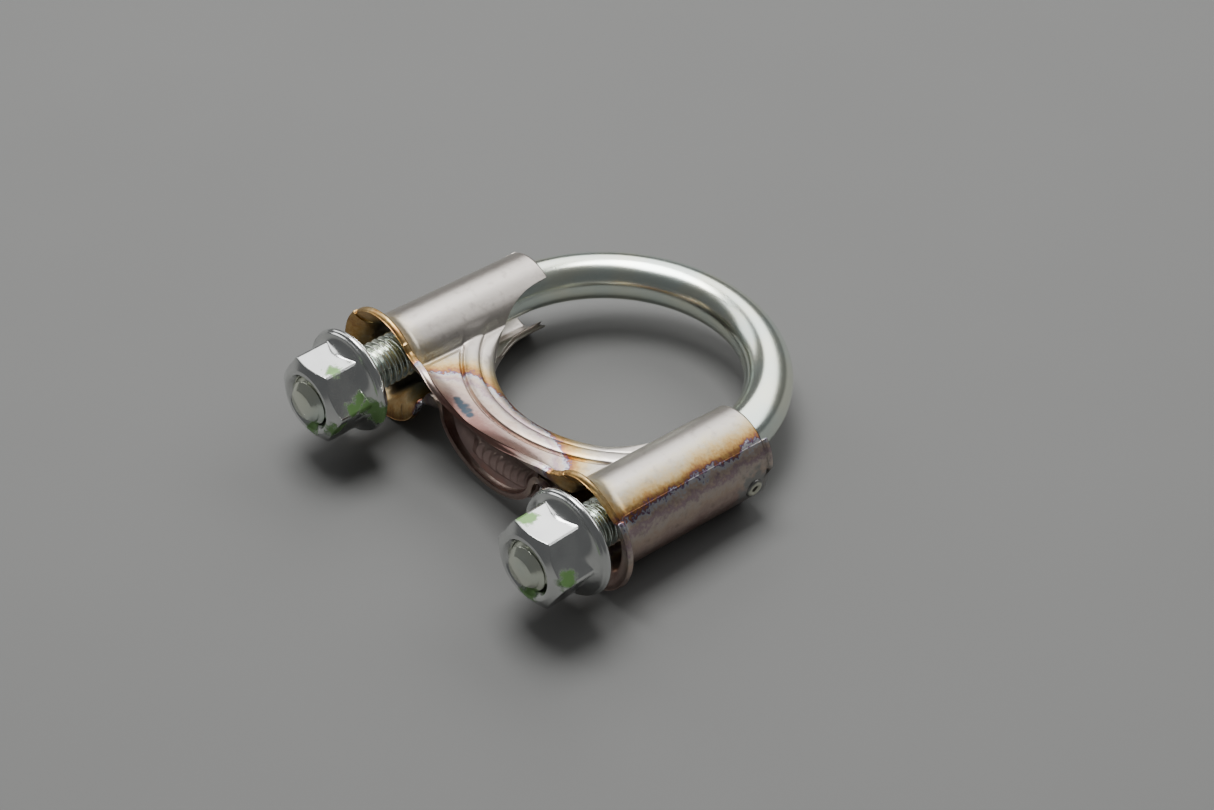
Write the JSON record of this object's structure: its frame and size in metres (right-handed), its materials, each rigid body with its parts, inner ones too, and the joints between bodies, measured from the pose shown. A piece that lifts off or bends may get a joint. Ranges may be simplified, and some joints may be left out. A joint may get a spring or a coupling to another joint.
{
  "type": "exhaust u-bolt clamp",
  "caption": "U-bolt pipe clamp: a bent rod with threaded legs, a pressed saddle with sleeves that slide on the legs, and hex flange nuts that draw the saddle onto the pipe.",
  "frame": {"origin": "centre of the bow's arc at the height of the rod's centre, which is the axis of the pipe that the bow holds", "axes": "+Z along the clamped pipe, +Y from the legs towards the bow, +X towards the right-hand leg"},
  "size_m": [0.0716, 0.0727, 0.0206],
  "materials": {
    "rod_zinc": "zinc plated steel with a pale yellow-green passivation, satin with bright highlights",
    "saddle_steel": "pressed stainless sheet, heat tinted from silver through straw to purple and blue near the welds",
    "weld_metal": "rippled weld bead, dark brown-pink heat tint",
    "nut_zinc": "bright zinc plated steel, lightly tumbled, with dabs of green marking paint"
  },
  "bodies": {
    "bolt": {"u_bolt": "rod_zinc"},
    "saddle": {"saddle_upper_shell": "saddle_steel", "saddle_lower_shell": "saddle_steel", "front_weld": "weld_metal", "spot_weld": "weld_metal"},
    "left_nut": {"flange_nut_left": "nut_zinc"},
    "right_nut": {"flange_nut_right": "nut_zinc"}
  },
  "joints": [
    {"name": "saddle_slide", "type": "slide", "parent": "bolt", "child": "saddle", "axis": [0, 1, 0], "range_m": [-0.0014, 0.003]},
    {"name": "left_nut_travel", "type": "slide", "parent": "bolt", "child": "left_nut", "axis": [0, 1, 0], "range_m": [-0.0108, 0.0012]},
    {"name": "right_nut_travel", "type": "slide", "parent": "bolt", "child": "right_nut", "axis": [0, 1, 0], "range_m": [-0.0108, 0.0012]}
  ]
}
